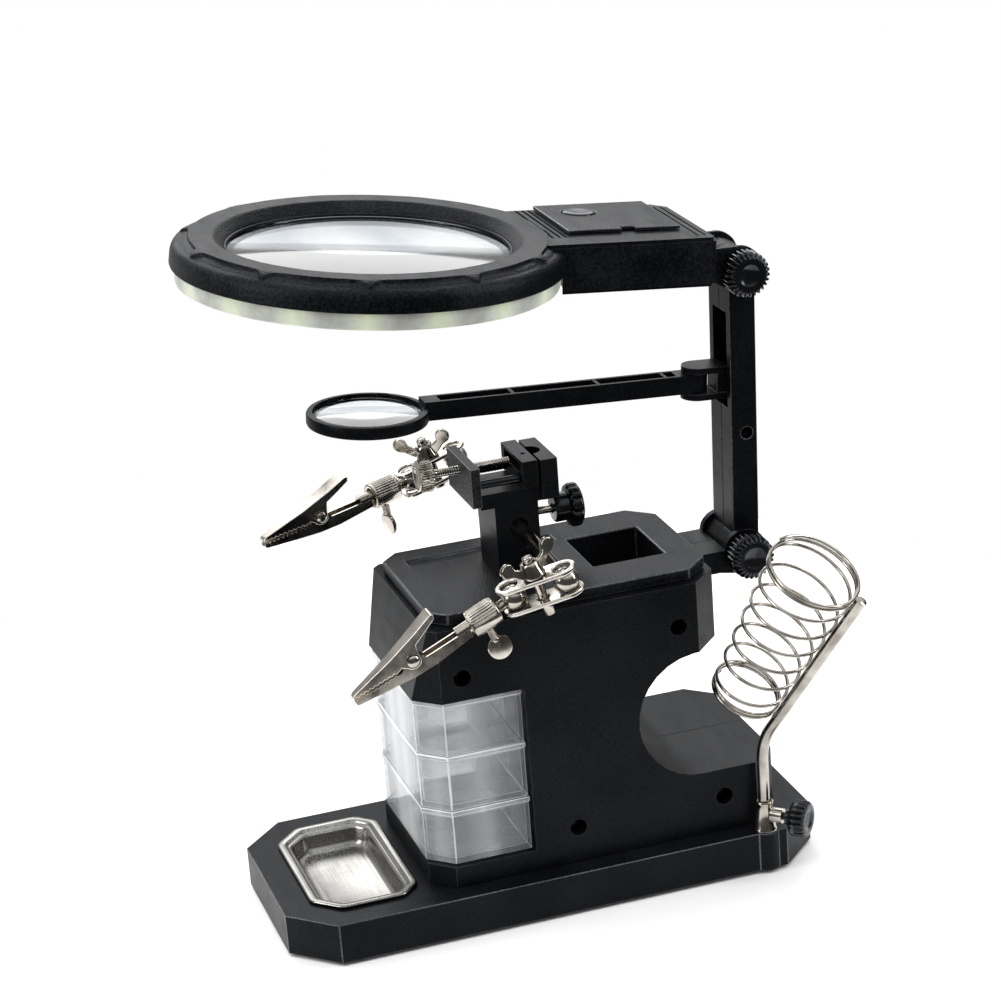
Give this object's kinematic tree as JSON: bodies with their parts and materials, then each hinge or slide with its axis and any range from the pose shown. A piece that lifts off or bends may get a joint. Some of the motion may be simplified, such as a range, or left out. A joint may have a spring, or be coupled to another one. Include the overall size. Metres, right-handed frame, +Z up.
{
  "type": "helping hands soldering station",
  "caption": "Soldering station base with magnifier lamp on a mast, swing-out small lens, vise, clips on ball clamps, clear drawers, solder tray and coil iron rest.",
  "frame": {"origin": "centre of the base plate's flat underside", "axes": "+X along the base towards the iron rest, -Y towards the user, +Z up"},
  "size_m": [0.2049, 0.1462, 0.2415],
  "materials": {
    "black_abs": "fine moulded texture",
    "black_knob": "smooth moulded",
    "nickel_plate": "bright nickel plate",
    "tray_steel": "bright pressed sheet",
    "black_screw": "black oxide",
    "clear_drawer": "clear polystyrene",
    "lens_glass": "polished",
    "white_diffuser": "frosted translucent"
  },
  "bodies": {
    "base": {"base_shell": "black_abs", "base_bottom_plate": "black_abs", "housing_front": "black_abs", "housing_rear": "black_abs", "top_lid": "black_abs", "housing_screw_1": "black_screw", "housing_screw_2": "black_screw", "housing_screw_3": "black_screw", "housing_screw_4": "black_screw", "vise_body": "black_abs", "vise_end_plate": "black_abs", "vise_guide_rod_1": "black_abs", "vise_guide_rod_2": "black_abs", "holder_sleeve": "nickel_plate"},
    "tray": {"solder_tray": "tray_steel"},
    "top_drawer": {"drawer_top": "clear_drawer"},
    "middle_drawer": {"drawer_middle": "clear_drawer"},
    "bottom_drawer": {"drawer_bottom": "clear_drawer"},
    "mast": {"mast_front_half": "black_abs", "mast_rear_half": "black_abs"},
    "lower_knob": {"hinge_knob_lower": "black_knob", "hinge_bolt_lower": "black_screw"},
    "head": {"head_case": "black_abs", "led_diffuser": "white_diffuser", "lens_retainer": "black_abs", "main_lens": "lens_glass"},
    "upper_knob": {"hinge_knob_upper": "black_knob", "hinge_bolt_upper": "black_screw"},
    "cover": {"battery_cover": "black_abs"},
    "button": {"power_button": "black_knob"},
    "knuckle": {"lens_knuckle": "black_abs", "knuckle_pin": "nickel_plate"},
    "lens_arm_body": {"lens_arm": "black_abs", "small_lens": "lens_glass"},
    "vise_jaw": {"vise_moving_jaw": "black_abs"},
    "vise_thumbscrew": {"vise_screw": "nickel_plate"},
    "rod_lock": {"rod_lock_knob": "black_knob", "rod_lock_screw": "nickel_plate"},
    "rod": {"cross_rod": "nickel_plate"},
    "iron_rest": {"holder_rod": "nickel_plate", "holder_coil": "nickel_plate"},
    "iron_knob": {"holder_knob": "black_knob"},
    "front_clamp": {"clamp_front_lower_plate": "nickel_plate", "clamp_front_upper_plate": "nickel_plate", "clamp_front_screw": "nickel_plate"},
    "front_wing_nut": {"clamp_front_wing_nut": "nickel_plate"},
    "front_clip": {"clip_front_holder": "nickel_plate", "clip_front_lower_jaw": "nickel_plate", "clip_front_rivet": "nickel_plate"},
    "front_spade": {"clip_front_thumbscrew": "nickel_plate"},
    "front_jaw": {"clip_front_upper_jaw": "nickel_plate"},
    "rear_clamp": {"clamp_rear_lower_plate": "nickel_plate", "clamp_rear_upper_plate": "nickel_plate", "clamp_rear_screw": "nickel_plate"},
    "rear_wing_nut": {"clamp_rear_wing_nut": "nickel_plate"},
    "rear_clip": {"clip_rear_holder": "nickel_plate", "clip_rear_lower_jaw": "nickel_plate", "clip_rear_rivet": "nickel_plate"},
    "rear_spade": {"clip_rear_thumbscrew": "nickel_plate"},
    "rear_jaw": {"clip_rear_upper_jaw": "nickel_plate"}
  },
  "joints": [
    {"name": "tray_lift", "type": "slide", "parent": "base", "child": "tray", "axis": [0, 0, 1], "range_m": [0, 0.006]},
    {"name": "top_drawer_slide", "type": "slide", "parent": "base", "child": "top_drawer", "axis": [-1, 0, 0], "range_m": [0, 0.03]},
    {"name": "middle_drawer_slide", "type": "slide", "parent": "base", "child": "middle_drawer", "axis": [-1, 0, 0], "range_m": [0, 0.03]},
    {"name": "bottom_drawer_slide", "type": "slide", "parent": "base", "child": "bottom_drawer", "axis": [-1, 0, 0], "range_m": [0, 0.03]},
    {"name": "mast_tilt", "type": "hinge", "parent": "base", "child": "mast", "pos_m": [0.0815, 0, 0.106], "axis": [0, 1, 0], "range_deg": [-3, 40]},
    {"name": "lower_knob_spin", "type": "hinge", "parent": "base", "child": "lower_knob", "pos_m": [0.0815, 0, 0.106], "axis": [0, 1, 0], "continuous": true},
    {"name": "head_tilt", "type": "hinge", "parent": "mast", "child": "head", "pos_m": [0.08425, 0, 0.20596], "axis": [0, 1, 0], "range_deg": [-12, 75]},
    {"name": "upper_knob_spin", "type": "hinge", "parent": "mast", "child": "upper_knob", "pos_m": [0.08425, 0, 0.20596], "axis": [0, 1, 0], "continuous": true},
    {"name": "cover_lift", "type": "slide", "parent": "head", "child": "cover", "axis": [0.1045, 0, 0.9945], "range_m": [0, 0.01]},
    {"name": "button_press", "type": "slide", "parent": "head", "child": "button", "axis": [-0.1045, 0, -0.9945], "range_m": [0, 0.001], "stiffness_N_per_m": 400},
    {"name": "lens_knuckle_tilt", "type": "hinge", "parent": "mast", "child": "knuckle", "pos_m": [0.08257, 0, 0.1652], "axis": [0, 1, 0], "range_deg": [-5, 15]},
    {"name": "lens_arm_swing", "type": "hinge", "parent": "knuckle", "child": "lens_arm_body", "pos_m": [0.0711, 0, 0.166], "axis": [0.0698, 0, 0.9976], "range_deg": [-80, 80]},
    {"name": "vise_slide", "type": "slide", "parent": "base", "child": "vise_jaw", "axis": [-1, 0, 0], "range_m": [-0.001, 0.012]},
    {"name": "vise_screw_spin", "type": "hinge", "parent": "vise_jaw", "child": "vise_thumbscrew", "pos_m": [-0.0185, 0, 0.1495], "axis": [-1, 0, 0], "range_deg": [-460, 5410]},
    {"name": "rod_lock_spin", "type": "hinge", "parent": "base", "child": "rod_lock", "pos_m": [0.02, 0, 0.1299], "axis": [1, 0, 0], "continuous": true},
    {"name": "cross_rod_turn", "type": "hinge", "parent": "base", "child": "rod", "pos_m": [0.0019, 0.0025, 0.12935], "axis": [0, 0.9993, 0.0361], "range_deg": [-20, 35]},
    {"name": "front_clamp_swivel", "type": "hinge", "parent": "rod", "child": "front_clamp", "pos_m": [0.0019, -0.05646, 0.12722], "axis": [-0.3105, 0.0001, 0.9506], "range_deg": [-5, 30]},
    {"name": "front_wing_nut_spin", "type": "hinge", "parent": "front_clamp", "child": "front_wing_nut", "pos_m": [-0.00613, -0.0535, 0.1246], "axis": [-0.3105, 0.0001, 0.9506], "continuous": true},
    {"name": "front_clip_swivel", "type": "hinge", "parent": "front_clamp", "child": "front_clip", "pos_m": [-0.01416, -0.05054, 0.12197], "axis": [-0.3105, 0.0001, 0.9506], "range_deg": [-6, 35]},
    {"name": "front_spade_spin", "type": "hinge", "parent": "front_clip", "child": "front_spade", "pos_m": [-0.02502, -0.05054, 0.11712], "axis": [-0.4077, 0, 0.9131], "continuous": true},
    {"name": "front_jaw_open", "type": "hinge", "parent": "front_clip", "child": "front_jaw", "pos_m": [-0.04999, -0.05054, 0.10805], "axis": [0, 1, 0], "range_deg": [0, 20], "stiffness_Nm_per_rad": 0.05, "springref_deg": -20.05},
    {"name": "rear_clamp_swivel", "type": "hinge", "parent": "rod", "child": "rear_clamp", "pos_m": [0.0019, 0.06146, 0.13148], "axis": [-0.3102, 0, 0.9507], "range_deg": [-30, 12]},
    {"name": "rear_wing_nut_spin", "type": "hinge", "parent": "rear_clamp", "child": "rear_wing_nut", "pos_m": [-0.00661, 0.06146, 0.12871], "axis": [-0.3102, 0, 0.9507], "continuous": true},
    {"name": "rear_clip_swivel", "type": "hinge", "parent": "rear_clamp", "child": "rear_clip", "pos_m": [-0.01512, 0.06146, 0.12593], "axis": [-0.3102, 0, 0.9507], "range_deg": [-35, 15]},
    {"name": "rear_spade_spin", "type": "hinge", "parent": "rear_clip", "child": "rear_spade", "pos_m": [-0.02656, 0.05859, 0.12437], "axis": [-0.1269, -0.0319, 0.9914], "continuous": true},
    {"name": "rear_jaw_open", "type": "hinge", "parent": "rear_clip", "child": "rear_jaw", "pos_m": [-0.05228, 0.05212, 0.12279], "axis": [-0.2437, 0.9698, 0], "range_deg": [0, 20], "stiffness_Nm_per_rad": 0.05, "springref_deg": -20.05},
    {"name": "iron_rest_swivel", "type": "hinge", "parent": "base", "child": "iron_rest", "pos_m": [0.0734, -0.039, 0.03], "axis": [0, 0, 1], "range_deg": [-60, 60]},
    {"name": "iron_knob_spin", "type": "hinge", "parent": "base", "child": "iron_knob", "pos_m": [0.0734, -0.039, 0.02], "axis": [0.7071, -0.7071, 0], "continuous": true}
  ],
  "couplings": [
    {"joint": "vise_screw_spin", "follows": "vise_slide", "rad_per_m": 7854}
  ]
}
